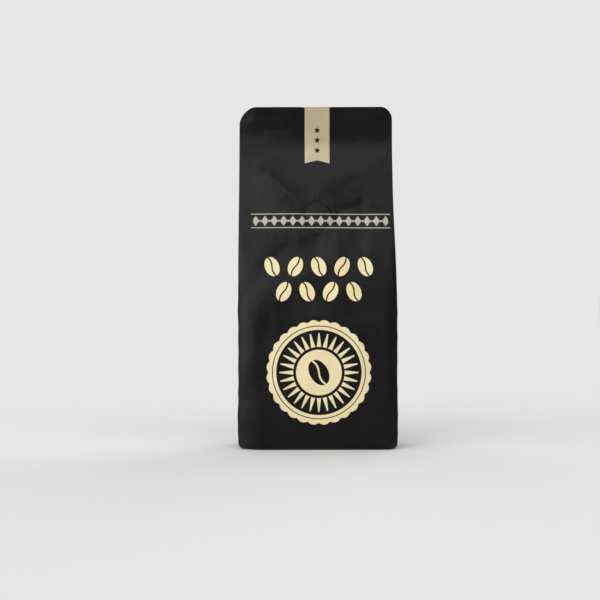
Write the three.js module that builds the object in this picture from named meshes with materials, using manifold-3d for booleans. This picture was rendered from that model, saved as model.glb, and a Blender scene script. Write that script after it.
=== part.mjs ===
// Flat-bottom coffee bag, shut and filled: a film bag with folded side gussets, a flat welded band
// along the top, a round vent valve standing out under the film, and a paper ribbon label folded
// over the top edge.
// Millimetres, +Z up, front face towards -Y, origin in the middle of the flat base.

import * as THREE from 'three';
import { mergeVertices } from 'three/addons/utils/BufferGeometryUtils.js';
import Module from 'manifold-3d';

const { clamp, smoothstep, lerp } = THREE.MathUtils;

// Whole bag
const WIDTH = 128.4;              // across the filled part
const BAND_WIDTH = 126;           // across the flat band at the top
const HEIGHT = 280;
const EDGE_DEPTH = 33;            // middle plane to the front face, measured at the upright edges
const CROWN = 3;                  // how far the filled face bulges past its edges
const SIDE_BULGE = 0.4;           // the same for the side panels
const BELLY_HEIGHT = 80;          // the filled face leans back more and more above this
const BELLY_CURVE = 1.7;
const EDGE_REACH = 10;            // size of the softened upright edges of the filled part
const EDGE_POWER = 1.5;           // 2 would round them, 1 would bevel them
const FOOT_RADIUS = 5;            // rounding round the flat base
const LEAN = { shift: -1.4, from: 100, to: 215 };   // the shut top stands a little to the left

// Welded band along the top
const BAND_HEIGHT = 27;
const BAND_THICKNESS = 1.2;
const LEFT_CORNER = { across: 13, down: 14.5 };
const RIGHT_CORNER = { across: 8, down: 9 };
const CORNER_POWER = 1.7;         // 2 would round the corner to an ellipse, 1 would cut it straight

// Folded faces above the filled part: they meet at the peak and run out at the shoulder
const PEAK_HEIGHT = 190;
const PEAK_DEPTH = 22;            // middle plane to the front face at the peak
const SHOULDER_HEIGHT = 118;
const FOLD_SOFTNESS = 5;
const GUSSET_REACH = 33;          // depth of the side fold when it is shut flat
const FOLD_RADIUS = 1;            // rounding of the upright edges beside the gusset

// Vent valve
const VALVE = { x: 2.7, z: 189, radius: 11.2, proud: 0.7, seat: 12.5, fade: 21, sides: 40 };

// Ribbon label
const RIBBON = { width: 21, thickness: 0.35, gap: 0.3, frontEnd: 232, backEnd: 232, notch: 3 };

// Mesh steps
const PANEL_STEPS = 22;
const EDGE_STEPS = 3;
const SIDE_STEPS = 5;             // from the edge to the middle of a side panel

const HALF_WIDTH = WIDTH / 2;
const HALF_BAND = BAND_THICKNESS / 2;
const BAND_FOOT = HEIGHT - BAND_HEIGHT;
const UPPER_LEAN = (PEAK_DEPTH - HALF_BAND) / (BAND_FOOT - PEAK_HEIGHT);
const SIDE_LEAN = (EDGE_DEPTH - HALF_BAND) / (BAND_FOOT - SHOULDER_HEIGHT);
const SEAT = seatPlane();

function smoothMin(a, b, soft) {
  const near = Math.max(soft - Math.abs(a - b), 0) / soft;
  return Math.min(a, b) - near * near * soft / 4;
}

// Distance of the front or back panel from the middle plane. The filled face stands upright and
// curves back above the belly, less so at its edges, one face leans back from the peak to the band,
// and one on each side leans back to the upright edge. The middle of the panel is x = 0 at every height.
function panelDepth(x, z) {
  const out = Math.min(Math.abs(x) / HALF_WIDTH, 1);
  const rise = Math.max(z - BELLY_HEIGHT, 0) / (PEAK_HEIGHT - BELLY_HEIGHT);
  const crowned = CROWN * (1 - out * out) * smoothstep(z, 0, BELLY_HEIGHT);
  const lean = (EDGE_DEPTH + CROWN - PEAK_DEPTH) * (1 - 0.6 * out * out) * rise ** BELLY_CURVE;
  const filled = EDGE_DEPTH + crowned - lean;
  const upper = HALF_BAND + UPPER_LEAN * (BAND_FOOT - z);
  const foldHeight = lerp(PEAK_HEIGHT, SHOULDER_HEIGHT, out);
  const side = lerp(PEAK_DEPTH, EDGE_DEPTH, out) - SIDE_LEAN * (z - foldHeight);
  const folded = smoothMin(smoothMin(filled, upper, FOLD_SOFTNESS), side, FOLD_SOFTNESS);
  return -smoothMin(-folded, -HALF_BAND, 0.8);
}

// The front panel is pressed to a small flat seat round the valve.
function frontDepth(x, z) {
  const reach = Math.hypot(x - VALVE.x, z - VALVE.z);
  const seat = 1 - smoothstep(reach, VALVE.seat, VALVE.fade);
  return lerp(panelDepth(x, z), SEAT.depth - SEAT.slope * (z - VALVE.z), seat);
}

// The seat is the plane through the panel just below and just above the valve.
function seatPlane() {
  const low = panelDepth(VALVE.x, VALVE.z - VALVE.seat);
  const high = panelDepth(VALVE.x, VALVE.z + VALVE.seat);
  return { depth: (low + high) / 2, slope: (low - high) / (2 * VALVE.seat) };
}

// How far the middle of the bag is off to the side at a height.
function sway(z) {
  return LEAN.shift * smoothstep(z, LEAN.from, LEAN.to);
}

// The panels draw in a little where the bag is folded shut.
function halfWidth(z) {
  return lerp(WIDTH, BAND_WIDTH, smoothstep(z, SHOULDER_HEIGHT - 25, PEAK_HEIGHT + 5)) / 2;
}

// Width taken off a top corner at a height.
function cornerCut(z, corner) {
  const rise = clamp((z - HEIGHT + corner.down) / corner.down, 0, 1);
  return corner.across * (1 - (1 - rise ** CORNER_POWER) ** (1 / CORNER_POWER));
}

// Step back of the walls where they round into the base.
function footInset(z) {
  const fall = clamp(1 - z / FOOT_RADIUS, 0, 1);
  return FOOT_RADIUS * (1 - Math.sqrt(1 - fall * fall));
}

// How far the middle of a side panel is folded in once its edges stand closer than it is wide.
function gussetFold(edgeDepth, z) {
  const shut = clamp(1 - edgeDepth / EDGE_DEPTH, 0, 1);
  const open = 1 - smoothstep(z, BAND_FOOT - 10, BAND_FOOT - 2);
  return GUSSET_REACH * (1 - (1 - shut) ** 4) * smoothstep(shut, 0.02, 0.2) * open;
}

// Half of the outline at a height, from the middle of the left side past the panel to the middle of
// the right side.
function halfOutline(z, depthAt) {
  const foot = footInset(z);
  const left = -(halfWidth(z) - foot - cornerCut(z, LEFT_CORNER));
  const right = halfWidth(z) - foot - cornerCut(z, RIGHT_CORNER);
  const shut = smoothstep(z, SHOULDER_HEIGHT - 15, PEAK_HEIGHT);
  const radius = Math.min(lerp(EDGE_REACH, FOLD_RADIUS, shut), 0.6 * (depthAt(right, z) - foot));
  const power = lerp(EDGE_POWER, 2, shut);
  const sharp = lerp(2.4, 1.15, smoothstep(z, SHOULDER_HEIGHT, PEAK_HEIGHT + 20));

  const side = (end, sign, steps) => {
    const edge = depthAt(end - sign * radius, z) - foot;
    const fold = gussetFold(edge, z);
    const filled = smoothstep(z, 0, 60) * (1 - smoothstep(z, SHOULDER_HEIGHT - 40, SHOULDER_HEIGHT + 10));
    return steps.map((q) => new THREE.Vector2(
      end + sign * (SIDE_BULGE * filled * (1 - q * q) - fold * (1 - q ** sharp)),
      -q * (edge - radius),
    ));
  };
  const edgeArc = (end, sign, steps) => {
    const edge = depthAt(end - sign * radius, z) - foot;
    return steps.map((t) => new THREE.Vector2(
      end - sign * radius * (1 - Math.cos(t * Math.PI / 2) ** (2 / power)),
      -(edge - radius) - radius * Math.sin(t * Math.PI / 2) ** (2 / power),
    ));
  };
  const sideSteps = Array.from({ length: SIDE_STEPS + 1 }, (_, i) => i / SIDE_STEPS);
  const arcSteps = Array.from({ length: EDGE_STEPS - 1 }, (_, i) => (i + 1) / EDGE_STEPS);
  const panel = Array.from({ length: PANEL_STEPS + 1 }, (_, i) => {
    const x = lerp(left + radius, right - radius, i / PANEL_STEPS);
    return new THREE.Vector2(x, -(depthAt(x, z) - foot));
  });
  return [
    ...side(left, -1, sideSteps),
    ...edgeArc(left, -1, arcSteps),
    ...panel,
    ...edgeArc(right, 1, [...arcSteps].reverse()),
    ...side(right, 1, [...sideSteps].reverse()),
  ];
}

// Full outline: front half, then the back half mirrored and walked the other way.
function outline(z) {
  const front = halfOutline(z, frontDepth);
  const back = halfOutline(z, panelDepth).map((p) => new THREE.Vector2(p.x, -p.y)).reverse();
  return [...front.slice(0, -1), ...back.slice(0, -1)].map((p) => new THREE.Vector3(p.x + sway(z), p.y, z));
}

// Heights of the outlines: close together where the wall turns, wider apart where it runs straight.
function outlineHeights() {
  const foot = [0, 1, 2, 3].map((i) => FOOT_RADIUS * (1 - Math.cos(i * Math.PI / 6)));
  const steps = (from, to, count) => Array.from({ length: count }, (_, i) => lerp(from, to, (i + 1) / count));
  const filled = steps(FOOT_RADIUS, SHOULDER_HEIGHT - 15, 9);
  const folded = steps(SHOULDER_HEIGHT - 15, BAND_FOOT - 4, 21);
  const band = [BAND_FOOT - 2, BAND_FOOT, BAND_FOOT + 2, BAND_FOOT + 7];
  const corners = [0, 0.2, 0.36, 0.5, 0.62, 0.73, 0.83, 0.91, 0.97, 1]
    .map((t) => HEIGHT - LEFT_CORNER.down * (1 - t));
  return [...foot, ...filled, ...folded, ...band, ...corners];
}

// Closed skin over a stack of outlines, with a fan over the base and over the top edge.
function loft(rings) {
  const count = rings[0].length;
  const last = rings.length - 1;
  const points = rings.flat();
  const faces = [];
  for (let k = 0; k < last; k++) {
    for (let i = 0; i < count; i++) {
      const a = k * count + i;
      const b = k * count + (i + 1) % count;
      faces.push(a, b, b + count, a, b + count, a + count);
    }
  }
  const middle = (ring) => ring.reduce((sum, p) => sum.add(p), new THREE.Vector3()).divideScalar(count);
  const base = points.push(middle(rings[0])) - 1;
  const top = points.push(middle(rings[last])) - 1;
  for (let i = 0; i < count; i++) {
    const next = (i + 1) % count;
    faces.push(base, next, i, top, last * count + i, last * count + next);
  }
  return new THREE.BufferGeometry().setFromPoints(points).setIndex(faces);
}

// Round valve: a low disc with a bevelled rim, leaning with the seat it lies on.
function valveDisc() {
  const { radius, proud, sides } = VALVE;
  const profile = [[0, -4], [radius, -4], [radius, 0.15], [radius - 0.6, proud], [0, proud + 0.15]]
    .map(([r, h]) => new THREE.Vector2(r, h));
  const disc = new THREE.LatheGeometry(profile, sides);
  disc.rotateX(Math.PI - Math.atan(SEAT.slope));
  disc.translate(VALVE.x + sway(VALVE.z), -SEAT.depth, VALVE.z);
  return disc;
}

// Ribbon: a strip up the front, over the top edge and down the back, with a notched tail at each end.
function ribbonStrip() {
  const half = RIBBON.width / 2;
  const columns = 6;
  const strip = 15;
  const turn = 6;
  const place = (x, along, offset) => {
    if (Math.abs(along) <= 1) {
      const angle = along * Math.PI / 2;
      const reach = HALF_BAND + offset;
      return new THREE.Vector3(x, Math.sin(angle) * reach, HEIGHT + Math.cos(angle) * reach);
    }
    const face = Math.sign(along);
    const z = HEIGHT - (Math.abs(along) - 1);
    const depth = (up) => panelDepth(x - sway(up), up);
    const slope = (depth(z + 0.1) - depth(z - 0.1)) / 0.2;
    const length = Math.hypot(1, slope);
    return new THREE.Vector3(
      x,
      face * (depth(z) + offset / length),
      z - offset * slope / length,
    );
  };
  const rowsAt = (x) => {
    const tail = (end) => HEIGHT - end - RIBBON.notch * (1 - Math.abs(x) / half);
    const run = (length) => Array.from({ length: strip }, (_, i) => 1 + length * (strip - i) / strip);
    const front = run(tail(RIBBON.frontEnd)).map((s) => -s);
    const over = Array.from({ length: turn + 1 }, (_, i) => -1 + 2 * i / turn);
    const back = run(tail(RIBBON.backEnd)).reverse();
    return [...front, ...over, ...back];
  };
  const xs = Array.from({ length: columns + 1 }, (_, j) => lerp(-half, half, j / columns));
  const paths = xs.map(rowsAt);
  const rows = paths[0].length;
  const points = [];
  for (const offset of [RIBBON.gap + RIBBON.thickness, RIBBON.gap]) {
    for (let i = 0; i < rows; i++) {
      xs.forEach((x, j) => points.push(place(x, paths[j][i], offset)));
    }
  }
  const wide = columns + 1;
  const inner = rows * wide;
  const faces = [];
  const quad = (a, b, c, d) => faces.push(a, b, c, a, c, d);
  for (let i = 0; i < rows - 1; i++) {
    for (let j = 0; j < columns; j++) {
      const a = i * wide + j;
      quad(a, a + 1, a + 1 + wide, a + wide);
      quad(inner + a, inner + a + wide, inner + a + 1 + wide, inner + a + 1);
    }
    const left = i * wide;
    const right = left + columns;
    quad(left, left + wide, inner + left + wide, inner + left);
    quad(right, inner + right, inner + right + wide, right + wide);
  }
  for (let j = 0; j < columns; j++) {
    const end = (rows - 1) * wide + j;
    quad(j, inner + j, inner + j + 1, j + 1);
    quad(end, end + 1, inner + end + 1, inner + end);
  }
  return new THREE.BufferGeometry().setFromPoints(points).setIndex(faces);
}

const wasm = await Module();
wasm.setup();

function toSolid(geometry) {
  geometry.deleteAttribute('normal');
  geometry.deleteAttribute('uv');
  const welded = mergeVertices(geometry, 1e-4);
  return new wasm.Manifold(new wasm.Mesh({
    numProp: 3,
    vertProperties: Float32Array.from(welded.attributes.position.array),
    triVerts: Uint32Array.from(welded.index.array),
  }));
}

function toGeometry(solid) {
  const mesh = solid.getMesh();
  const geometry = new THREE.BufferGeometry();
  geometry.setAttribute('position', new THREE.BufferAttribute(mesh.vertProperties, 3));
  geometry.setIndex(new THREE.BufferAttribute(mesh.triVerts, 1));
  geometry.computeVertexNormals();
  return geometry;
}

function node(name, geometry, color, roughness) {
  const mesh = new THREE.Mesh(geometry, new THREE.MeshStandardMaterial({ color, roughness, metalness: 0 }));
  mesh.name = name;
  return mesh;
}

const filmBag = toSolid(loft(outlineHeights().map(outline))).add(toSolid(valveDisc()));

const group = new THREE.Group();
group.add(node('bag', toGeometry(filmBag), 0x262626, 0.5));
group.add(node('ribbon_label', ribbonStrip(), 0xc4b48e, 0.7));

export default group;
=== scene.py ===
import math

import bmesh
import bpy
import numpy as np
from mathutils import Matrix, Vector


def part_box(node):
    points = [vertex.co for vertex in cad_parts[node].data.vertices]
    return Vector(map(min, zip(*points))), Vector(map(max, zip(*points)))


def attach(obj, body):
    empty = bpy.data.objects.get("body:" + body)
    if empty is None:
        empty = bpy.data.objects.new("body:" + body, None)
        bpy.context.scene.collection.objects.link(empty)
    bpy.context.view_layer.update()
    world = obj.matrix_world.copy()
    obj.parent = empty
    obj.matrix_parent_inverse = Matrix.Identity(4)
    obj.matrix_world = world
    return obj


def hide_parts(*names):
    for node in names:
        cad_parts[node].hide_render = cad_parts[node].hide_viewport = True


# Flat bottom coffee bag: matte black film over its filling, and a paper ribbon folded over the top edge.
# Shapes are worked out in millimetres, front towards -Y, and put into the mesh in metres.

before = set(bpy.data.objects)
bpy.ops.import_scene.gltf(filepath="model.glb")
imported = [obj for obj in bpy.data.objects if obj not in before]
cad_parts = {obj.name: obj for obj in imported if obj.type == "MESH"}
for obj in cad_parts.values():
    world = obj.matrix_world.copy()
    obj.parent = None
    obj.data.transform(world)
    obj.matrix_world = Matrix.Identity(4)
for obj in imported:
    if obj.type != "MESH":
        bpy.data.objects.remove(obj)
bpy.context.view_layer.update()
mm = 0.001
print("frame loaded, nodes:", sorted(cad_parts))


# Plain curves used by all the shapes

def smoothStep(low, high, value):
    t = np.clip((value - low) / (high - low), 0, 1)
    return t * t * (3 - 2 * t)


def smoothMin(a, b, soft):
    near = np.maximum(soft - np.abs(a - b), 0) / soft
    return np.minimum(a, b) - near * near * soft / 4


def lerp(a, b, t):
    return a + (b - a) * t


def hump(value, middle, spread):  # 1 at the middle, fading to both sides
    return np.exp(-((value - middle) / spread) ** 2)


def crowded(count, places, gain):
    # count + 1 values from 0 to 1, closer together round each (place, spread) by about 1 + gain
    fine = np.linspace(0, 1, 2001)
    density = 1 + gain * sum(hump(fine, place, spread) for place, spread in places)
    run = np.concatenate([[0], np.cumsum((density[1:] + density[:-1]) / 2)])
    return np.interp(np.linspace(0, 1, count + 1), run / run[-1], fine)


def waves(a, b, count, longest, shortest, seed):
    # sum of plane waves of random heading and length, about -1 to 1
    rng = np.random.default_rng(seed)
    total = np.zeros(np.broadcast(a, b).shape)
    for heading, length, start in zip(rng.uniform(0, 2 * np.pi, count),
                                      np.geomspace(longest, shortest, count),
                                      rng.uniform(0, 2 * np.pi, count)):
        total += np.sin(2 * np.pi * (a * np.cos(heading) + b * np.sin(heading)) / length + start)
    return total / math.sqrt(count)


# Film bag

lowCorner, highCorner = (np.array(corner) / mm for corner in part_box("bag"))

film = {
    "height": highCorner[2],
    "sideBulge": 0.4,          # the side panels stand this far past their edges
    "crown": 3.0,              # and the filled face this far past its own
    "bellyHeight": 76.0,       # the filled face leans back more and more above this
    "bellyCurve": 1.7,
    "edgeStay": 0.6,           # its edges lean back less by this share
    "bandWidth": 126.0,
    "bandHeight": 32.0,
    "bandThickness": 0.8,
    "bandTilt": 1.3,           # its foot lies this much lower at the right edge, and higher at the left
    "bandBow": 2.2,            # and this much higher at both edges than in the middle
    "bandLean": 0.3,           # the band's top edge stands back by this
    "topShift": -1.1,          # the shut top stands a little to the left
    "leftCorner": (13.0, 14.5),    # across, down
    "rightCorner": (8.4, 9.6),
    "topRise": 0.3,            # the top edge is this much higher at the right end, and lower at the left
    "topPressed": 0.3,         # and is pressed down this much under the ribbon
    "pressedHalf": (10.0, 13.0),   # half width of that place, from fully to not at all
    "topSoft": 262.0,          # above this the band gives way to both
    "topWave": 0.4,            # the free top waves from side to side by this
    "footCurl": 0.7,           # the left of the band's foot stands forward by this
    "cornerCurl": 1.2,         # and its upper left corner back by this
    "cornerPower": 1.7,
    "peakHeight": 190.0,       # where the four folded faces meet
    "peakDepth": 22.0,         # middle plane to the front face there
    "shoulderHeight": 118.0,   # where their folds run out at the upright edges
    "peakSoftness": 8.0,
    "foldSoftness": 5.0,
    "bandSoftness": 3.2,
    "shoulderRoll": 3.0,       # how far the filled face rolls off towards its edges at the shoulder
    "rollSpread": 26.0,
    "edgeReach": 10.0,         # strip beside an upright edge where the relief is low
    "hollowDepth": 1.0,        # the panels are a little hollow beside their upright edges
    "hollowPlace": 45.0,
    "hollowReach": 8.0,
    "edgeSoft": 2.0,           # power with which a panel starts to bend back to its upright edge
    "edgeKeen": 1.05,          # and with which it meets the side there: 1 is a straight run to the fold
    "foldRadius": 0.9,
    "footRadius": 5.0,
    "valve": (1.95, 188.8),    # across, up
    "valveRadius": 10.1,
    "valveProud": 0.40,
    "seatFirm": 0.7,           # how flat the film is pressed under the valve
    "moatDepth": 0.48,         # narrow dip round the valve
    "moatSpread": 1.5,
    "slackHeight": 0.26,       # broad waves of slack film
    "crumpleHeight": 0.06,     # small sharp wrinkles
    "crumpleMore": 0.03,       # and more of them where the bag is folded
    "sideSlack": 0.25,
    "fillHeight": 0.20,        # bumps of the filling
    "fillPitch": 10.5,
    "topSeam": 0.25,           # front and back film meet this far below the top edge
    "baseHollow": 0.8,
    "baseFold": 0.45,          # the folds of the base stand this far below its hollow
    "baseFork": (29.0, 33.0),  # half length of its middle fold, where that forks to the corners
    "girthRow": 60,            # ring of the walls whose girth is taken for all
    "panelSteps": 150,
    "edgeSteps": 12,
    "sideSteps": 20,
    "baseSteps": 26,
    "wallSteps": 206,
}
film["halfWidth"] = (highCorner[0] - lowCorner[0]) / 2 - film["sideBulge"]
film["edgeDepth"] = highCorner[1] - film["crown"]
film["bandFoot"] = film["height"] - film["bandHeight"]
film["halfBand"] = film["bandThickness"] / 2

# Upright edges, left and right: how far from the edge the panel starts to bend back, how far back it
# bends, how much more of both there is at the foot, and where their wander starts
frontEdges = [
    {"across": 13.8, "deep": 7.2, "flare": 0.3, "start": 3.4},
    {"across": 13.8, "deep": 5.6, "flare": 0.0, "start": 2.1},
]
backEdges = [
    {"across": 12.5, "deep": 7.4, "flare": 0.1, "start": 4.0},
    {"across": 13.5, "deep": 7.0, "flare": 0.2, "start": 1.2},
]

# Creases of the front as the photograph shows them: from and to (x, z), height of the line over the
# face (minus is a valley), how far the flanks reach to the right and left of it, going from its start
# to its end, how rounded the line is, and over what shares of its length it fades in and out
frontCreases = [
    # the fold from the left shoulder down to the valve, and a faint valley from the right shoulder
    {"from": (-50, 229), "to": (-13, 198), "lift": 4.4, "flanks": (22, 8), "keen": 3.5, "fade": (0.4, 0.6)},
    {"from": (43, 223), "to": (10, 203), "lift": -0.8, "flanks": (11, 9), "keen": 3.0, "fade": (0.75, 0.4)},
    # the deep valley on the right of the valve
    {"from": (4, 188), "to": (46, 200), "lift": -3.6, "flanks": (23, 10), "keen": 3.0},
    # valleys from below the valve to the upright edges
    {"from": (-22, 165), "to": (-48, 141), "lift": -1.0, "flanks": (6, 6), "keen": 3.0},
    {"from": (28, 176), "to": (43, 147), "lift": -1.2, "flanks": (6, 5), "keen": 2.0},
    # the ridge that hangs from the valve, and the fold of the left shoulder
    {"from": (17, 188), "to": (16, 142), "lift": 2.4, "flanks": (5, 11), "keen": 3.0},
    {"from": (-60, 121), "to": (-24, 117), "lift": 1.1, "flanks": (12, 10), "keen": 2.0},
    # two short streaks above the valve
    {"from": (1.5, 212), "to": (2.5, 202), "lift": 0.45, "flanks": (1.4, 1.4), "keen": 0.6},
    {"from": (-3.5, 210), "to": (-1.5, 201), "lift": 0.40, "flanks": (1.4, 1.4), "keen": 0.6},
]
frontPuffs = [    # swellings and dents: middle (x, z), reach (x, z), height
    # beside the valve and under it
    {"middle": (-17, 189), "reach": (13, 15), "height": 2.2},
    {"middle": (-1, 164), "reach": (7, 12), "height": -1.8},
    {"middle": (-14, 172), "reach": (10, 8), "height": 0.9},
    # slack film on the shoulders
    {"middle": (-42, 200), "reach": (12, 18), "height": -0.7},
    {"middle": (29, 218), "reach": (5, 4), "height": -0.3},
    {"middle": (45, 191), "reach": (12, 6), "height": -2.0},
    {"middle": (44, 158), "reach": (8, 10), "height": 1.2},
    # where the filling presses against the film
    {"middle": (-40, 128), "reach": (15, 10), "height": 1.1},
    {"middle": (-13, 140), "reach": (12, 9), "height": 0.9},
    {"middle": (23, 129), "reach": (12, 15), "height": 2.2},
    {"middle": (-54, 116), "reach": (9, 14), "height": 3.0},
    {"middle": (-3, 100), "reach": (18, 17), "height": 2.0},
    {"middle": (37, 95), "reach": (14, 15), "height": 2.0},
    {"middle": (-46, 32), "reach": (9, 15), "height": 2.4},
    {"middle": (50, 35), "reach": (9, 12), "height": 2.4},
]
backCreases = [
    {"from": (-50, 234), "to": (-10, 199), "lift": 2.4, "flanks": (17.0, 7.0), "keen": 2.6},
    {"from": (50, 232), "to": (8, 198), "lift": -2.0, "flanks": (7.0, 11.0), "keen": 2.0},
    {"from": (-10, 176), "to": (-55, 142), "lift": -1.3, "flanks": (5.5, 7.5), "keen": 1.8},
    {"from": (12, 174), "to": (54, 139), "lift": -1.8, "flanks": (8.0, 5.0), "keen": 1.8},
    {"from": (-6, 182), "to": (-3, 138), "lift": 1.5, "flanks": (10.0, 5.0), "keen": 2.4},
    {"from": (58, 118), "to": (24, 110), "lift": 0.9, "flanks": (9.0, 9.0), "keen": 2.0},
]
backPuffs = [
    {"middle": (-43, 201), "reach": (14, 18), "height": 0.9},
    {"middle": (42, 198), "reach": (15, 17), "height": 1.2},
    {"middle": (8, 140), "reach": (12, 10), "height": -0.8},
    {"middle": (-34, 118), "reach": (14, 13), "height": 1.6},
    {"middle": (14, 100), "reach": (17, 14), "height": 1.5},
    {"middle": (44, 84), "reach": (10, 14), "height": 1.4},
    {"middle": (-46, 70), "reach": (10, 13), "height": 1.3},
]
sideCreases = [    # the same on the sides, by (y, z)
    {"from": (0, 12), "to": (0, 122), "lift": -0.8, "flanks": (5.0, 5.0), "keen": 0.7},
    {"from": (-33, 6), "to": (0, 39), "lift": 0.55, "flanks": (3.5, 5.0), "keen": 0.7},
    {"from": (33, 6), "to": (0, 39), "lift": 0.55, "flanks": (5.0, 3.5), "keen": 0.7},
    {"from": (-30, 104), "to": (-4, 134), "lift": 0.45, "flanks": (4.0, 4.5), "keen": 0.8},
    {"from": (30, 104), "to": (4, 134), "lift": 0.45, "flanks": (4.5, 4.0), "keen": 0.8},
]
bandCreases = [
    {"from": (-56, 268), "to": (-24, 265), "lift": 0.26, "flanks": (1.8, 2.4), "keen": 0.7},
    {"from": (-50, 261), "to": (-16, 262), "lift": -0.24, "flanks": (2.2, 1.8), "keen": 0.7},
    {"from": (20, 270), "to": (52, 268), "lift": 0.10, "flanks": (2.5, 2.5), "keen": 1.0},
]


def sideShift(z):  # how far the middle of the bag is off to the side
    return film["topShift"] * smoothStep(100, 215, z)


def halfWidthAt(z):  # the panels draw in a little where the bag is folded shut
    shut = smoothStep(film["shoulderHeight"] + 5, film["peakHeight"] + 25, z)
    return lerp(film["halfWidth"], film["bandWidth"] / 2, shut)


def topLift(x, z):  # the top edge isn't quite level and is pressed down under the ribbon
    pressed = film["topPressed"] * (1 - smoothStep(*film["pressedHalf"], np.abs(x)))
    rise = 2 * film["topRise"] * x / film["bandWidth"]
    return (rise - pressed) * smoothStep(film["topSoft"], film["height"], z)


def panelDepth(x, z):
    # distance of a panel from the middle plane: the least of a face that stands upright and curves back
    # above the belly, less so at its edges, one that leans back from the peak to the band, and one on
    # each side that leans back to the upright edge
    out = np.minimum(np.abs(x) / film["halfWidth"], 1)
    rise = np.maximum(z - film["bellyHeight"], 0) / (film["peakHeight"] - film["bellyHeight"])
    crowned = film["crown"] * (1 - out ** 2) * smoothStep(0, film["bellyHeight"], z)
    drop = film["edgeDepth"] + film["crown"] - film["peakDepth"]
    lean = drop * (1 - film["edgeStay"] * out ** 2) * rise ** film["bellyCurve"]
    rolled = film["shoulderRoll"] * smoothStep(0.55, 0.95, out) ** 2
    rolled = rolled * hump(z, film["shoulderHeight"], film["rollSpread"])
    filled = film["edgeDepth"] + crowned - lean - rolled
    bandFoot = film["bandFoot"] - film["bandTilt"] * x / film["halfWidth"] + film["bandBow"] * out ** 2
    upperLean = (film["peakDepth"] - film["halfBand"]) / (bandFoot - film["peakHeight"])
    sideLean = (film["edgeDepth"] - film["halfBand"]) / (bandFoot - film["shoulderHeight"])
    upper = film["halfBand"] + upperLean * (bandFoot - z)
    foldHeight = lerp(film["peakHeight"], film["shoulderHeight"], out)
    side = lerp(film["peakDepth"], film["edgeDepth"], out) - sideLean * (z - foldHeight)
    soft = lerp(film["foldSoftness"], 0.5, smoothStep(film["bandFoot"] - 45, film["bandFoot"] - 5, z))
    folded = smoothMin(smoothMin(filled, upper, film["peakSoftness"]), side, soft)
    return -smoothMin(-folded, -film["halfBand"], film["bandSoftness"])


def valveSeat(x, z):  # the flat place under the valve and how much of it is felt here
    across, up = film["valve"]
    reach = film["valveRadius"]
    low, high = (float(panelDepth(np.array(across), np.array(up + side * reach))) for side in (-1, 1))
    plane = (low + high) / 2 - (low - high) / (2 * reach) * (z - up)
    away = np.hypot(x - across, z - up)
    felt = film["seatFirm"] - film["seatFirm"] * smoothStep(reach - 1, reach + 7, away)
    return plane, felt, away


def creaseRelief(x, z, creases):
    # each crease is a fold line: its height falls off as exp(-distance / flank) to both sides, is
    # rounded over by keen at the line, and fades out over the ends, which it runs past by a share
    overrun = 0.15
    total = np.zeros(np.broadcast(x, z).shape)
    for crease in creases:
        start, end = np.array(crease["from"]), np.array(crease["to"])
        length = np.hypot(*(end - start))
        along, upward = (end - start) / length
        run = ((x - start[0]) * along + (z - start[1]) * upward) / length
        off = (z - start[1]) * along - (x - start[0]) * upward
        first, last = crease.get("fade", (0.43, 0.43))
        fade = smoothStep(-overrun, first - overrun, run)
        fade = fade * (1 - smoothStep(1 + overrun - last, 1 + overrun, run))
        flank = lerp(*crease["flanks"], smoothStep(-1.5, 1.5, off))
        near = np.sqrt(off ** 2 + crease["keen"] ** 2) - crease["keen"]
        total += crease["lift"] * fade * np.exp(-near / flank)
    return total


def puffRelief(x, z, puffs):  # sum of round humps
    return sum(puff["height"] * hump(x, puff["middle"][0], puff["reach"][0])
               * hump(z, puff["middle"][1], puff["reach"][1]) for puff in puffs)


def panelRelief(x, z, creases, puffs, seed):
    # what the plain shape lacks: creases, swellings, hollows beside the upright edges, and slack film
    folded = smoothStep(130, 160, z) * (1 - smoothStep(236, 250, z))
    uneven = 1 + 0.35 * np.sin(z / 5.3 + seed) + 0.3 * np.sin(z / 11 + np.sign(x) + seed)
    hollow = -film["hollowDepth"] * uneven * hump(np.abs(x), film["hollowPlace"], film["hollowReach"])
    hollow = hollow * smoothStep(10, 40, z) * (1 - smoothStep(105, 135, z))
    slack = film["slackHeight"] * waves(x, z, count=18, longest=90, shortest=24, seed=seed)
    sharp = 0.5 - np.abs(waves(x, z, count=14, longest=36, shortest=11, seed=seed + 2))
    crumple = (film["crumpleHeight"] + film["crumpleMore"] * folded) * sharp
    relief = creaseRelief(x, z, creases) + puffRelief(x, z, puffs) + hollow + slack + crumple
    calm = smoothStep(4, 25, z) * (1 - smoothStep(film["bandFoot"] - 14, film["bandFoot"] - 1, z))
    fromEdge = film["halfWidth"] - film["edgeReach"] - np.abs(x)
    return relief * calm * lerp(0.3, 1, smoothStep(0, 20, fromEdge))


def frontDepth(x, z):
    # front panel with its relief, pressed to a flat seat round the valve, and the low disc of the valve
    plane, felt, away = valveSeat(x, z)
    relief = panelRelief(x, z, frontCreases, frontPuffs, seed=3)
    disc = film["valveProud"] * (1 - smoothStep(film["valveRadius"] - 1.6, film["valveRadius"] + 0.8, away))
    moat = -film["moatDepth"] * hump(away, film["valveRadius"] + 1.0, film["moatSpread"])
    return lerp(panelDepth(x, z), plane, felt) + relief * (1 - 0.85 * felt) + disc + moat


def backDepth(x, z):
    return panelDepth(x, z) + panelRelief(x, z, backCreases, backPuffs, seed=8)


def cornerCut(z, corner):  # width that a rounded top corner takes off
    across, down = corner
    rise = np.clip((z - film["height"] + down) / down, 0, 1)
    power = film["cornerPower"]
    return across * (1 - (1 - rise ** power) ** (1 / power))


def footInset(z):  # step back of the walls where they round into the base
    fall = np.clip(1 - z / film["footRadius"], 0, 1)
    return film["footRadius"] * (1 - np.sqrt(1 - fall ** 2))


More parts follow.
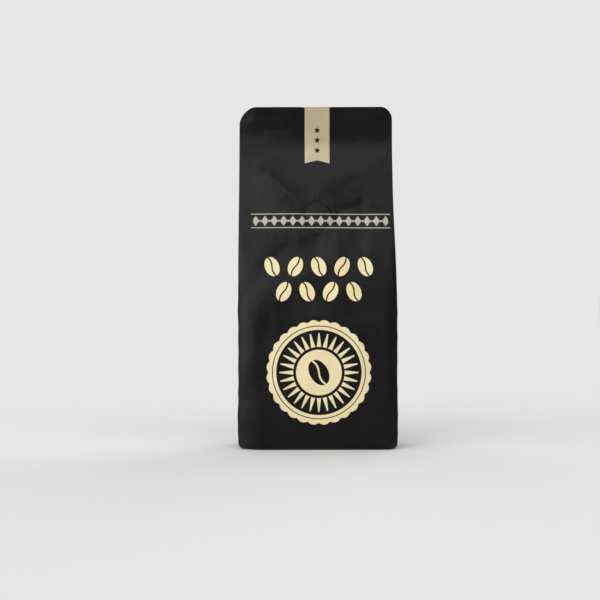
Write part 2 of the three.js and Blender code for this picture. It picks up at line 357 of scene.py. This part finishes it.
def gussetFold(edge, z):  # how far the middle of a side is folded in as its edges come together
    shut = np.clip(1 - edge / film["edgeDepth"], 0, 1)
    stillOpen = 1 - smoothStep(film["bandFoot"] - 10, film["bandFoot"] - 2, z)
    return film["edgeDepth"] * (1 - (1 - shut) ** 4) * smoothStep(0.02, 0.2, shut) * stillOpen


def halfOutline(z, depthAt, edges):
    # outline at each height from the middle of the left side, past the panel, to the middle of the
    # right side; z is a column of heights, and the result is x and y, one row for each height
    foot = footInset(z)
    left = -(halfWidthAt(z) - foot - cornerCut(z, film["leftCorner"]))
    right = halfWidthAt(z) - foot - cornerCut(z, film["rightCorner"])
    shut = smoothStep(film["shoulderHeight"] - 15, film["peakHeight"], z)
    firm = smoothStep(film["shoulderHeight"] - 35, film["shoulderHeight"] + 10, z)
    deepest = 0.6 * (panelDepth(right, z) - foot)
    plain = np.minimum(lerp(film["edgeReach"], film["foldRadius"], shut), deepest)
    # the side's fold is round where it starts and keen where the bag is shut
    keen = lerp(2.4, 1.12, smoothStep(film["shoulderHeight"], film["peakHeight"] + 20, z))
    bulge = film["sideBulge"] * smoothStep(0, 60, z)
    bulge = bulge * (1 - smoothStep(film["shoulderHeight"] - 40, film["shoulderHeight"] + 10, z))

    def reachOf(edge, size):  # the bend grows and shrinks a little on the way up
        wander = 1 + 0.05 * np.sin(z / 13 + edge["start"]) + 0.04 * np.sin(z / 6.1 + 2 * edge["start"])
        wander = wander + edge["flare"] * (1 - smoothStep(8, 60, z))
        return np.minimum(lerp(edge[size] * wander, film["foldRadius"], shut), deepest)

    def side(end, sign, edge, q):  # q is 0 at the middle of the side and 1 at its edge
        depth = depthAt(end, z) - foot - reachOf(edge, "deep")
        fold = gussetFold(panelDepth(end - sign * plain, z) - foot, z)
        x = end + sign * (bulge * (1 - q ** 2) - fold * (1 - q ** keen))
        return x, -q * depth

    def upright(end, sign, edge, t):  # bend to the upright edge, t from the side (0) to the panel (1)
        meeting = lerp(film["edgeKeen"], 2.0, firm)
        x = end - sign * reachOf(edge, "across") * (1 - np.cos(t * np.pi / 2) ** (2 / film["edgeSoft"]))
        bend = reachOf(edge, "deep") * (1 - np.sin(t * np.pi / 2) ** (2 / meeting))
        return x, -(depthAt(x, z) - foot - bend)

    def panel(t):
        x = lerp(left + reachOf(edges[0], "across"), right - reachOf(edges[1], "across"), t)
        return x, -(depthAt(x, z) - foot)

    q = np.linspace(0, 1, film["sideSteps"] + 1) ** 0.9
    t = np.linspace(0, 1, film["edgeSteps"] + 1)[1:-1]
    across = crowded(film["panelSteps"], [(0.5, 0.12)], 0.9)
    pieces = [side(left, -1, edges[0], q), upright(left, -1, edges[0], t), panel(across),
              upright(right, 1, edges[1], t[::-1]), side(right, 1, edges[1], q[::-1])]
    return tuple(np.concatenate([piece[i] for piece in pieces], axis=1) for i in (0, 1))


def fillRelief(girth, z, total, pitch, seed):
    # low bumps of the filling behind the film: one rounded bump in each cell of a jittered lattice that
    # closes on itself round the bag
    rng = np.random.default_rng(seed)
    around = int(total / pitch)
    upward = int(film["height"] / pitch) + 3
    shift = rng.uniform(-0.38, 0.38, (2, around, upward))
    size = rng.uniform(0.35, 1.0, (around, upward))
    a, b = girth / total * around, z / pitch + 1
    column, row = np.floor(a).astype(int), np.floor(b).astype(int)
    height = np.zeros(a.shape)
    for di in (-1, 0, 1):
        for dj in (-1, 0, 1):
            i, j = (column + di) % around, np.clip(row + dj, 0, upward - 1)
            da = a - (column + di + 0.5 + shift[0][i, j])
            db = b - (row + dj + 0.5 + shift[1][i, j])
            height += size[i, j] * np.exp(-(da ** 2 + db ** 2) / 0.22)
    return height - height.mean()


def bandSway(x, z):  # the free top of the bag leans a little, isn't quite flat and has a few wrinkles
    up = np.clip((z - film["bandFoot"]) / film["bandHeight"], 0, 1)
    wave = film["topWave"] * np.sin(x / 23 + 0.6) * smoothStep(film["bandFoot"] - 30, film["height"], z)
    wrinkle = creaseRelief(x, z, bandCreases) * smoothStep(film["bandFoot"], film["bandFoot"] + 4, z)
    atFoot = smoothStep(225, 250, z) * (1 - smoothStep(250, 264, z))
    curl = -film["footCurl"] * smoothStep(8, 40, -x) * atFoot
    curl += film["cornerCurl"] * smoothStep(49, 63, -x) * smoothStep(258, 276, z)
    return wave + film["bandLean"] * up - wrinkle + curl


def meshFrom(name, points, faces, fields=None, cornerMap=None):
    # points in millimetres into a mesh in metres, with the seams and poles welded; fields are values at
    # the points by name, and cornerMap is the place of each corner of each face on an image map
    mesh = bpy.data.meshes.new(name)
    mesh.from_pydata((points * mm).tolist(), [], faces.tolist())
    for field, values in (fields or {}).items():
        attribute = mesh.attributes.new(field, "FLOAT", "POINT")
        attribute.data.foreach_set("value", values.ravel().astype(np.float32))
    if cornerMap is not None:
        mesh.uv_layers.new(name="OFBake").uv.foreach_set("vector", cornerMap.ravel().astype(np.float32))
    work = bmesh.new()
    work.from_mesh(mesh)
    bmesh.ops.remove_doubles(work, verts=work.verts, dist=1e-6)
    bmesh.ops.dissolve_degenerate(work, edges=work.edges, dist=1e-7)
    work.to_mesh(mesh)
    work.free()
    mesh.polygons.foreach_set("use_smooth", np.ones(len(mesh.polygons), bool))
    made = bpy.data.objects.new(name, mesh)
    bpy.context.scene.collection.objects.link(made)
    return made


def skinNormal(points):  # outward direction at each point of a skin of rings
    around = np.roll(points, -1, 1) - np.roll(points, 1, 1)
    upward = np.gradient(points, axis=0)
    normal = np.cross(around, upward)
    return normal / np.maximum(np.linalg.norm(normal, axis=-1, keepdims=True), 1e-9)


def bulging(points):
    # how sharply the skin bends outwards at each point, 0 to 1, from the turn between the steps to its
    # neighbours round the bag and up it
    normal = skinNormal(points)
    padded = np.concatenate([points[:1], points, points[-1:]])
    total = np.zeros(points.shape[:2])
    for before, after in ((np.roll(points, 1, 1), np.roll(points, -1, 1)), (padded[:-2], padded[2:])):
        back, ahead = before - points, after - points
        lengths = [np.maximum(np.linalg.norm(way, axis=-1, keepdims=True), 0.05) for way in (back, ahead)]
        turn = -((back / lengths[0] + ahead / lengths[1]) * normal).sum(-1)
        total += np.maximum(2 * turn / (lengths[0] + lengths[1])[..., 0], 0)
    return smoothStep(0.05, 0.45, total)


def gridFaces(rows, columns, wrap):
    # four corners of each cell of a grid of points, with the last column joined to the first if wrap
    row = np.arange(rows - 1)[:, None] * columns
    column = np.arange(columns if wrap else columns - 1)[None, :]
    after = (column + 1) % columns
    above = row + columns
    return np.stack([row + column, row + after, above + after, above + column], -1).reshape(-1, 4)


def buildFilm():
    # closed skin of rings: out over the base, up the walls, and shut along the top edge
    z = crowded(film["wallSteps"], [(0.68, 0.07), (0.0, 0.02), (0.9, 0.03), (1.0, 0.03)], 1.1)[:, None]
    z = z * film["height"]
    frontX, frontY = halfOutline(z, frontDepth, frontEdges)
    backX, backY = halfOutline(z, backDepth, backEdges)
    x = np.concatenate([frontX[:, :-1], backX[:, :0:-1]], axis=1)
    y = np.concatenate([frontY[:, :-1], -backY[:, :0:-1]], axis=1)
    walls = np.stack([x, y, np.broadcast_to(z, x.shape)], -1)

    normal = skinNormal(walls)
    ring = walls[film["girthRow"]]
    step = np.linalg.norm(np.diff(ring, axis=0, append=ring[:1]), axis=-1)
    girth = np.broadcast_to(np.cumsum(step) - step, x.shape)

    height = walls[..., 2]
    onSide = 1 - smoothStep(0.35, 0.8, np.abs(normal[..., 1]))
    onEdge = hump(np.abs(normal[..., 1]), 0.7, 0.25)
    filled = smoothStep(4, 25, height) * (1 - smoothStep(150, 190, height))
    relief = film["fillHeight"] * filled * (1 - 0.6 * onEdge)
    relief *= fillRelief(girth, height, step.sum(), film["fillPitch"], seed=5)
    relief += onSide * creaseRelief(y, height, sideCreases)
    sideWaves = waves(y, height, count=12, longest=60, shortest=18, seed=21)
    relief += film["sideSlack"] * onSide * sideWaves * smoothStep(6, 30, height)
    relief *= smoothStep(0, 12, height) * (1 - smoothStep(film["bandFoot"] - 12, film["bandFoot"], height))
    gap = np.where(onSide > 0.5, panelDepth(x, height) - np.abs(y), halfWidthAt(height) - np.abs(x))
    relief *= smoothStep(0.5, 9, gap)    # the upright edges stay straight
    walls = walls + normal * relief[..., None]
    walls[..., 1] += bandSway(walls[..., 0], walls[..., 2])
    walls[..., 0] += sideShift(walls[..., 2])
    walls[..., 2] += topLift(walls[..., 0], walls[..., 2])

    # base: the lowest ring drawn in to the middle, a little hollow, with the folds of its bottom
    inward = np.linspace(0, 1, film["baseSteps"])[:-1, None]
    baseX, baseY = walls[0, :, 0] * inward, walls[0, :, 1] * inward
    hipLine = np.abs(baseX) - np.abs(baseY) - (walls[0, :, 0].max() - walls[0, :, 1].max())
    outer = smoothStep(*film["baseFork"], np.abs(baseX))
    fold = lerp(hump(baseY, 0, 2.0), hump(hipLine, 0, 2.4), outer)
    hollow = smoothStep(0.97, 0.85, inward)
    base = np.stack([baseX, baseY, (film["baseHollow"] - film["baseFold"] * fold) * hollow], -1)

    topEdge = walls[-1:].copy()
    topEdge[..., 1] = bandSway(topEdge[..., 0], topEdge[..., 2])
    topEdge[..., 2] -= film["topSeam"]
    points = np.concatenate([base, walls, topEdge])
    rows, columns = points.shape[:2]

    # place of each face's corners on the image map: across by girth, the front twice as wide, and
    # up by height
    frontRing = walls[film["girthRow"], :, 1] < -20
    across = np.cumsum(np.append(0, step * np.where(frontRing, 2, 1)))
    across = across / across[-1]
    up = np.concatenate([np.linspace(0, 0.07, len(base)), 0.08 + 0.915 * z[:, 0] / film["height"], [1.0]])
    corners = [(across[:-1], up[:-1]), (across[1:], up[:-1]), (across[1:], up[1:]), (across[:-1], up[1:])]
    cornerMap = np.stack([np.stack(np.broadcast_arrays(u[None, :], v[:, None]), -1) for u, v in corners], 2)
    onFront = np.zeros((rows, columns))
    firstColumn = film["sideSteps"] + film["edgeSteps"]
    onFront[len(base):, firstColumn:firstColumn + film["panelSteps"] + 1] = 1
    return meshFrom("film_bag", points.reshape(-1, 3), gridFaces(rows, columns, True),
                    {"wear": bulging(points), "onFront": onFront}, cornerMap)


filmBag = buildFilm()
print("film bag:", len(filmBag.data.polygons), "faces")


# Ribbon label

ribbon = {
    "width": 20.4,
    "thickness": 0.22,
    "gap": 0.10,          # to the film
    "frontEnd": 232.6,    # height of the tips of its tail
    "backEnd": 232.0,
    "notch": 2.7,         # how far the tail is cut in
    "columns": 28,
    "runSteps": 90,
    "turnSteps": 14,
}


def buildRibbon():
    # strip up the front, round the top edge and down the back; along runs from -1 - length at the
    # front tail, through -1 to 1 over the top edge, to 1 + length at the back tail
    half = ribbon["width"] / 2
    across = np.linspace(-half, half, ribbon["columns"] + 1)[None, :]
    tail = ribbon["notch"] * (1 - np.abs(across) / half)
    run = np.linspace(1, 0, ribbon["runSteps"] + 1)[:, None]
    front = -1 - (film["height"] - ribbon["frontEnd"] - tail) * run
    over = np.linspace(-1, 1, ribbon["turnSteps"] + 1)[1:-1, None] * np.ones_like(across)
    back = 1 + (film["height"] - ribbon["backEnd"] - tail) * run[::-1]
    along = np.concatenate([front, over, back])
    x = np.broadcast_to(across, along.shape)
    face = np.sign(along)
    z = film["height"] - np.maximum(np.abs(along) - 1, 0)

    def depth(at):
        own = x - sideShift(at)
        return np.where(face < 0, frontDepth(own, at), backDepth(own, at))

    def layer(offset):
        slope = (depth(z + 0.2) - depth(z - 0.2)) / 0.4
        slope = np.where(np.abs(along) < 1 + 1e-6, 0, slope)
        length = np.hypot(1, slope)
        reach = film["halfBand"] + offset
        turning = np.clip(along, -1, 1) * np.pi / 2
        flat = np.abs(along) > 1
        y = np.where(flat, face * (depth(z) + offset / length), np.sin(turning) * reach)
        up = np.where(flat, z - offset * slope / length, film["height"] + np.cos(turning) * offset)
        return np.stack([x, y + bandSway(x - sideShift(z), z), up + topLift(x, z)], -1)

    outer = layer(ribbon["gap"] + ribbon["thickness"])
    inner = layer(ribbon["gap"])
    rows, columns = outer.shape[:2]
    ring = np.concatenate([outer, inner[:, ::-1]], axis=1)
    points = np.concatenate([ring[:1], ring, ring[-1:]])
    middle = np.concatenate([(outer + inner) / 2, (outer + inner)[:, ::-1] / 2], axis=1)
    points[0], points[-1] = middle[0], middle[-1]
    return meshFrom("ribbon_paper", points.reshape(-1, 3), gridFaces(rows + 2, 2 * columns, True))


ribbonPaper = buildRibbon()
print("ribbon:", len(ribbonPaper.data.polygons), "faces")


# Materials

class Wire:
    # an output socket; arithmetic on it adds Math nodes
    def __init__(self, finish, socket):
        self.finish = finish
        self.socket = socket

    def math(self, operation, *values):
        return self.finish.node("ShaderNodeMath", {"operation": operation}, dict(enumerate(values)))

    def __add__(self, other):
        return self.math("ADD", self, other)

    def __sub__(self, other):
        return self.math("SUBTRACT", self, other)

    def __rsub__(self, other):
        return self.math("SUBTRACT", other, self)

    def __mul__(self, other):
        return self.math("MULTIPLY", self, other)

    def __truediv__(self, other):
        return self.math("DIVIDE", self, other)

    def __abs__(self):
        return self.math("ABSOLUTE", self)

    def __lt__(self, other):
        return self.math("LESS_THAN", self, other)

    def __gt__(self, other):
        return self.math("GREATER_THAN", self, other)

    def power(self, other):
        return self.math("POWER", self, other)

    def sine(self):
        return self.math("SINE", self)

    def cosine(self):
        return self.math("COSINE", self)

    def root(self):
        return self.math("SQRT", self)

    def least(self, other):
        return self.math("MINIMUM", self, other)

    def most(self, other):
        return self.math("MAXIMUM", self, other)

    def wrap(self, low, high):
        return self.math("WRAP", self, high, low)

    def angleOver(self, other):
        return self.math("ARCTAN2", self, other)

    def floor(self):
        return self.math("FLOOR", self)

    def modulo(self, other):
        return self.math("FLOORED_MODULO", self, other)

    def clamp(self):
        return self.finish.node("ShaderNodeClamp", {}, {0: self})


class Finish:
    # a material being made: node() adds any node, its settings first and then its sockets
    def __init__(self, name):
        self.material = bpy.data.materials.new(name)
        self.material.use_nodes = True
        self.tree = self.material.node_tree
        self.tree.nodes.clear()

    def node(self, kind, settings, inputs, output=0):
        made = self.tree.nodes.new(kind)
        for key, value in settings.items():
            setattr(made, key, value)
        for key, value in inputs.items():
            if isinstance(value, Wire):
                self.tree.links.new(value.socket, made.inputs[key])
            else:
                made.inputs[key].default_value = value
        return Wire(self, made.outputs[output]) if made.outputs else None

    def coordinates(self):
        # object coordinates in millimetres: x, y, z and the vector itself
        place = self.node("ShaderNodeTexCoord", {}, {}, "Object")
        scaled = self.node("ShaderNodeVectorMath", {"operation": "SCALE"}, {0: place, "Scale": 1 / mm})
        parts = [self.node("ShaderNodeSeparateXYZ", {}, {0: scaled}, axis) for axis in range(3)]
        return (*parts, scaled)

    def noise(self, vector, size, detail, stretch=(1, 1, 1)):
        # soft noise about 0 with features of about this size in millimetres, drawn out by stretch
        if stretch != (1, 1, 1):
            vector = self.node("ShaderNodeVectorMath", {"operation": "DIVIDE"}, {0: vector, 1: stretch})
        found = self.node("ShaderNodeTexNoise", {"noise_dimensions": "3D"},
                          {"Vector": vector, "Scale": 1 / size, "Detail": detail, "Roughness": 0.5})
        return found - 0.5

    def mix(self, factor, first, second):
        return self.node("ShaderNodeMix", {"data_type": "RGBA"}, {0: factor, 6: first, 7: second}, 2)

    def attribute(self, name):
        return self.node("ShaderNodeAttribute", {"attribute_name": name}, {}, "Fac")

    def shader(self, inputs):
        surface = self.node("ShaderNodeBsdfPrincipled", {}, inputs)
        self.node("ShaderNodeOutputMaterial", {}, {"Surface": surface})
        return self.material


def inside(distance, edge=0.14):  # 1 where a signed distance is below 0, with a thin soft edge
    return (0.5 - distance / edge).clamp()


# Print on the front, plain ornaments only: a row of lozenges, two rows of slit ovals and a round seal
ink = {
    "tan": (0.37, 0.335, 0.265, 1),
    "cream": (0.66, 0.565, 0.335, 1),
    "border": {"middle": (2.5, 184.7), "half": 56.6, "pitch": 7.547, "lozenge": (3.0, 4.2), "dot": 0.85},
    "rule": {"off": 5.6, "thick": 0.35},
    "beanRows": [{"middle": (0.6, 147.4), "count": 5}, {"middle": (0.6, 127.2), "count": 4}],
    "beanPitch": 18.8,
    "bean": {"half": (5.7, 8.1), "turn": 24, "slit": 0.62, "sway": 0.16},
    "seal": {"middle": (0.6, 62.5), "edge": 40.4, "scallop": 1.7, "inner": 34.2, "line": (37.2, 0.38),
             "rays": 28, "rayFrom": 20.6, "rayTo": 31.6, "rayHalf": (1.75, 0.45), "disc": 18.3},
    "sealBean": {"half": (7.4, 11.0), "turn": 30, "slit": 0.75, "sway": 0.18},
}


def beanMark(x, z, bean, lean=1):
    # an oval with a winding slit along it; lean is 1 or -1 for the side it is turned to
    cos, sin = math.cos(math.radians(bean["turn"])), math.sin(math.radians(bean["turn"]))
    halfAcross, halfAlong = bean["half"]
    across = x * cos + z * lean * sin
    along = z * cos - x * lean * sin
    body = (((across / halfAcross).power(2) + (along / halfAlong).power(2)).root() - 1) * halfAcross
    slit = abs(across - (along * (math.pi / halfAlong)).sine() * (bean["sway"] * halfAcross)) - bean["slit"]
    return body.most(slit * -1)


def beanRow(x, z, row):
    # the same oval in every cell of the row, turned to the left and right by turns
    pitch, count = ink["beanPitch"], row["count"]
    across = x - row["middle"][0] + (0 if count % 2 else pitch / 2)
    cell = (across / pitch + 0.5).floor()
    mark = beanMark(across - cell * pitch, z - row["middle"][1], ink["bean"], 1 - cell.modulo(2) * 2)
    return mark.most(abs(x - row["middle"][0]) - count * pitch / 2)


def borderMark(x, z):
    # lozenges with dots between them, and a thin rule above and below
    border, rule = ink["border"], ink["rule"]
    across, up = x - border["middle"][0], z - border["middle"][1]
    wide, high = border["lozenge"]
    spot = across.wrap(-border["pitch"] / 2, border["pitch"] / 2)
    lozenge = (abs(spot) / wide + abs(up) / high - 1) * (wide * high / math.hypot(wide, high))
    between = border["pitch"] / 2 - abs(spot)
    dot = (between.power(2) + up.power(2)).root() - border["dot"]
    rules = abs(abs(up) - rule["off"]) - rule["thick"]
    row = lozenge.least(dot).most(abs(across) - border["half"] + 2 * border["dot"])
    return row.least(rules.most(abs(across) - border["half"]))


def sealMark(x, z):
    # scalloped ring with a fine line in it, tapering rays, and a disc with a slit oval left out of it
    seal = ink["seal"]
    across, up = x - seal["middle"][0], z - seal["middle"][1]
    away = (across.power(2) + up.power(2)).root()
    angle = across.angleOver(up)
    outer = away - abs((angle * (seal["rays"] / 2)).sine()) * seal["scallop"] - seal["edge"]
    ring = outer.most(seal["inner"] - away).most(seal["line"][1] - abs(away - seal["line"][0]))
    half = math.pi / seal["rays"]
    thick, thin = seal["rayHalf"]
    taper = (away - seal["rayFrom"]) * ((thin - thick) / (seal["rayTo"] - seal["rayFrom"])) + thick
    ray = abs(angle.wrap(-half, half)) * away - taper
    ray = ray.most(seal["rayFrom"] - away).most(away - seal["rayTo"])
    disc = (away - seal["disc"]).most(beanMark(across, up, ink["sealBean"]) * -1)
    return ring.least(ray).least(disc)


# Lines pressed into the film beside the upright edges of the shut part
weldLines = {
    "off": (4.4, 1.5),       # from the edge to the middle of each line
    "half": (0.30, 0.25),    # half its width
    "foot": (185, 25),       # height where they start, and over what height they come up
    "head": (262, 6),        # height where they end, and over what height they fade out
}


def weldMark(x, z):
    fromEdge = film["bandWidth"] / 2 - abs(x - film["topShift"])
    foot, comeUp = weldLines["foot"]
    head, fadeOut = weldLines["head"]
    upright = ((z - foot) / comeUp).clamp() * (1 - ((z - head) / fadeOut).clamp())
    inner, outer = (inside(abs(fromEdge - off) - half, 0.5)
                    for off, half in zip(weldLines["off"], weldLines["half"]))
    return (inner + outer) * upright


def filmFinish():
    finish = Finish("matte_black_film")
    x, _, z, place = finish.coordinates()
    grain = finish.noise(place, size=0.35, detail=1)
    smudge = finish.noise(place, size=22, detail=3)
    wrinkle = finish.noise(place, size=6, detail=3, stretch=(1, 1, 1.4))
    scuff = finish.noise(place, size=1.3, detail=4, stretch=(1, 1, 1.6))
    black = finish.mix((smudge * 1.6 + 0.5).clamp(),
                       (0.0022, 0.0022, 0.0023, 1), (0.0038, 0.0038, 0.0039, 1))
    worn = (finish.attribute("wear") * (scuff * 3 + 0.55)).clamp()
    black = finish.mix(worn * 0.55, black, (0.020, 0.020, 0.020, 1))

    front = finish.attribute("onFront") > 0.5
    rubbed = 1 - ((finish.noise(place, size=2.2, detail=5) - 0.17) * 9).clamp() * 0.35
    tanInk = inside(borderMark(x, z)) * front * rubbed
    marks = sealMark(x, z)
    for row in ink["beanRows"]:
        marks = marks.least(beanRow(x, z, row))
    creamInk = inside(marks) * front * rubbed
    colour = finish.mix(tanInk, black, ink["tan"])
    colour = finish.mix(creamInk, colour, ink["cream"])
    printed = tanInk.most(creamInk)

    welded = ((z - film["bandFoot"]) / 2).clamp()    # the band is a little smoother
    height = wrinkle * 0.26 + grain * 0.010 + printed * 0.015 + weldMark(x, z) * 0.05
    bump = finish.node("ShaderNodeBump", {}, {"Strength": 1.0, "Distance": mm, "Height": height})
    return finish.shader({
        "Base Color": colour,
        "Roughness": smudge * 0.10 + worn * 0.08 + printed * 0.12 + 0.40 - welded * 0.06,
        "Specular IOR Level": 0.15,
        "Normal": bump,
    })


# Ribbon: three stars on its front, by height
stars = {
    "heights": (260.6, 252.3, 243.8),
    "tip": 2.95,      # radius of the points
    "waist": 1.35,    # and of the corners between them
    "turn": 8,        # degrees to the right
}


def starMark(x, z):
    # five-pointed star: the line from a point to the next corner, repeated every fifth of a turn
    tip, waist = stars["tip"], stars["waist"]
    fifth = math.pi / 5
    angle = abs((x.angleOver(z) - math.radians(stars["turn"])).wrap(-fifth, fifth))
    away = (x.power(2) + z.power(2)).root()
    down, over = waist * math.sin(fifth), tip - waist * math.cos(fifth)
    return ((angle.cosine() * away - tip) * down + angle.sine() * away * over) / math.hypot(down, over)


def paperFinish():
    finish = Finish("ribbon_paper")
    x, y, z, place = finish.coordinates()
    fibre = finish.noise(place, size=0.7, detail=3, stretch=(1, 1, 1.8))
    cloud = finish.noise(place, size=9, detail=2)
    # painted light: the paper is made lighter at its foot, where the ribbon leans back towards the lamps
    paintedLightFoot = ((248 - z) / 6 + 0.5).clamp() * 0.5 + ((246 - z) / 14).clamp() * 0.25    # lighter at its foot
    tan = finish.mix((cloud * 0.6 + fibre * 0.4 + 0.1 + paintedLightFoot).clamp(),
                     (0.358, 0.291, 0.186, 1), (0.465, 0.386, 0.266, 1))
    paintedEdgeLight = ((abs(x) - ribbon["width"] / 2 + 0.5) / 0.4).clamp()
    tan = finish.mix(paintedEdgeLight * 0.25, tan, (0.62, 0.54, 0.41, 1))    # painted highlight along both long edges
    marks = starMark(x, z - stars["heights"][0])
    for height in stars["heights"][1:]:
        marks = marks.least(starMark(x, z - height))
    starred = inside(marks, 0.08) * (y < 0)
    colour = finish.mix(starred * (fibre * 0.5 + 0.95).clamp(), tan, (0.004, 0.002, 0.001, 1))
    bump = finish.node("ShaderNodeBump", {}, {"Strength": 1.0, "Distance": mm, "Height": fibre * 0.03})
    return finish.shader({
        "Base Color": colour,
        "Roughness": fibre * 0.1 + 0.8,
        "Specular IOR Level": 0.02,
        "Normal": bump,
    })


filmBag.data.materials.append(filmFinish())
ribbonPaper.data.materials.append(paperFinish())
for piece, node, slot in ((filmBag, "bag", "film"), (ribbonPaper, "ribbon_label", "label")):
    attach(piece, "root")
    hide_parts(node)
print("materials and riders set")


# Stage, light and camera

stage = {
    "floorReach": 40.0,
    "floorTone": 0.625,
    "background": 0.79,
}

# Where each light stands, in degrees round from the front (minus is left) and up, its strength, and
# how wide it is in degrees
lights = {
    "left": {"round": -74, "up": 5, "strength": 1.95, "wide": 44},
    "key": {"round": -35, "up": 25, "strength": 1.65, "wide": 44},
    "right": {"round": 36, "up": 26, "strength": 0.74, "wide": 46},
    "top": {"round": 0, "up": 45, "strength": 0.8, "wide": 36},
    "over": {"round": 0, "up": 88, "strength": 0.9, "wide": 50},
    "rear": {"round": 145, "up": 28, "strength": 1.3, "wide": 50},
    "rearLeft": {"round": -150, "up": 42, "strength": 0.9, "wide": 60},
}

photo = {
    "pixels": 600,
    "sensor": 36.0,
    "distance": 1.100,      # camera to the plane of the band
    "heading": 1.4,         # degrees to the left of the bag's front
    "height": 0.1205,
    "mmPerPixel": 0.8263,   # at the plane of the band
    "bagMiddle": 317.1,     # column of the photograph where the middle of the base would be
}


def buildStage():
    reach = stage["floorReach"]
    mesh = bpy.data.meshes.new("floor")
    mesh.from_pydata([(-reach, -reach, 0), (reach, -reach, 0), (reach, reach, 0), (-reach, reach, 0)],
                     [], [(0, 1, 2, 3)])
    floor = bpy.data.objects.new("floor", mesh)
    bpy.context.scene.collection.objects.link(floor)
    finish = Finish("floor_pale")
    tone = stage["floorTone"]
    mesh.materials.append(finish.shader({
        "Base Color": (tone, tone, tone, 1),
        "Roughness": 0.9,
        "Specular IOR Level": 0.0,
    }))

    world = bpy.data.worlds.new("backdrop")
    world.use_nodes = True
    world.node_tree.nodes["Background"].inputs["Color"].default_value = (*[stage["background"]] * 3, 1)
    bpy.context.scene.world = world
    for ray in ("diffuse", "glossy", "transmission", "scatter"):
        setattr(world.cycles_visibility, ray, False)

    for name, place in lights.items():
        light = bpy.data.lights.new(name + "_light", "SUN")
        light.energy = place["strength"]
        light.angle = math.radians(place["wide"])
        lamp = bpy.data.objects.new(name + "_light", light)
        lamp.rotation_euler = (math.radians(90 - place["up"]), 0, math.radians(place["round"]))
        bpy.context.scene.collection.objects.link(lamp)


def buildCamera():
    lens = bpy.data.cameras.new("camera")
    focal = photo["distance"] / mm / photo["mmPerPixel"]    # in pixels
    lens.sensor_width = photo["sensor"]
    lens.lens = focal * photo["sensor"] / photo["pixels"]
    camera = bpy.data.objects.new("camera", lens)
    heading = math.radians(photo["heading"])
    camera.location = (-photo["distance"] * math.sin(heading), -photo["distance"] * math.cos(heading),
                       photo["height"])
    offAxis = math.atan2(photo["bagMiddle"] - photo["pixels"] / 2, focal)
    camera.rotation_euler = (math.pi / 2, 0, -heading + offAxis)
    bpy.context.scene.collection.objects.link(camera)
    bpy.context.scene.camera = camera


buildStage()
buildCamera()
bpy.context.scene.view_settings.view_transform = "Standard"
print("stage, lights and camera set")
